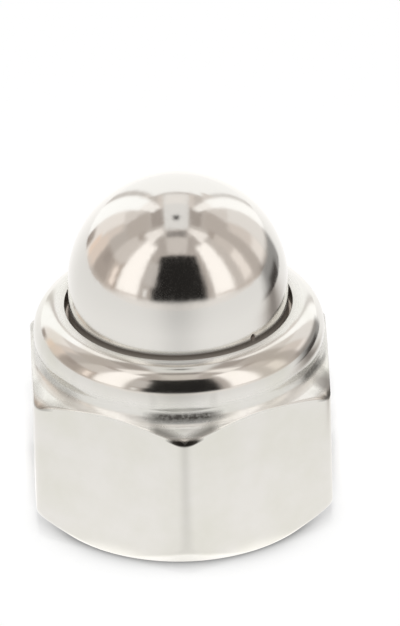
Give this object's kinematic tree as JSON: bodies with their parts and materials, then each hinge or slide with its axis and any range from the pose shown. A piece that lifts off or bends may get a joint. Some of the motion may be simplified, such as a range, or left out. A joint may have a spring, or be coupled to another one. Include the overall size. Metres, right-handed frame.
{
  "type": "domed cap nut",
  "caption": "Hexagon cap nut with a round collar rolled over a polished sheet-metal dome, and a hidden plastic ring that grips the bolt. It covers the bolt's end.",
  "frame": {"origin": "centre of the bearing face, on the thread's axis, where the nut meets the surface it is tightened on", "axes": "+Z along the thread's axis, from the bearing face to the top of the dome; two of the hexagon's flats face -X and +X"},
  "size_m": [0.019, 0.0216, 0.0225],
  "materials": {
    "body_steel": "bright stainless steel, smooth turned collar and slightly mottled flats",
    "ring_polyamide": "natural polyamide, milky and smooth",
    "cap_steel": "mirror-polished pressed stainless sheet with faint draw lines"
  },
  "bodies": {
    "root": {"nut_body": "body_steel", "locking_ring": "ring_polyamide", "dome_cap": "cap_steel"}
  },
  "joints": []
}
